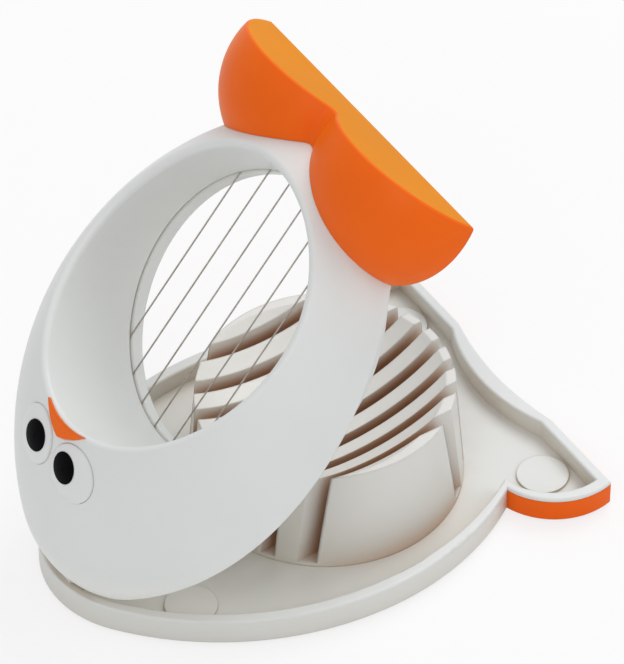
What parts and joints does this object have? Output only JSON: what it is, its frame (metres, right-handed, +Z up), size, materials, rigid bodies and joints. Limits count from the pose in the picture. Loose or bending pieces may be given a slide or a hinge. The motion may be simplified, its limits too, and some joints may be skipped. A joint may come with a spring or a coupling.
{
  "type": "egg slicer",
  "caption": "Hand egg slicer shaped like a resting bird: slotted egg cradle on a tray, and a hinged domed lid with an oval window strung with cutting wires.",
  "frame": {"origin": "on the table plane under the middle of the tray, where the rubber feet stand", "axes": "+X from the head (hinge) to the tail (handle), +Y to the far side, +Z up; the left and right halves mirror in Y"},
  "size_m": [0.1033, 0.073, 0.0948],
  "materials": {
    "white_plastic": "satin moulded",
    "orange_plastic": "satin moulded",
    "orange_trim": "satin moulded",
    "beak_plastic": "satin moulded",
    "black_plastic": "glossy",
    "rubber": "matte",
    "steel": "turned",
    "wire": "drawn"
  },
  "bodies": {
    "base": {"base_tray": "white_plastic", "egg_cradle": "white_plastic", "foot_trim_left": "orange_trim", "foot_trim_right": "orange_trim", "rubber_feet": "rubber", "hinge_pin": "steel"},
    "lid": {"lid_shell": "white_plastic", "wire_frame": "white_plastic", "cutting_wire": "wire", "wire_ferrules": "steel", "frame_screws": "steel", "handle": "orange_plastic", "handle_screws": "steel", "beak": "beak_plastic", "eye_left": "white_plastic", "eye_right": "white_plastic", "pupil_left": "black_plastic", "pupil_right": "black_plastic"}
  },
  "joints": [
    {"name": "lid_hinge", "type": "hinge", "parent": "base", "child": "lid", "pos_m": [-0.0472, 0, 0.0082], "axis": [0, -1, 0], "range_deg": [-50, 20]}
  ]
}
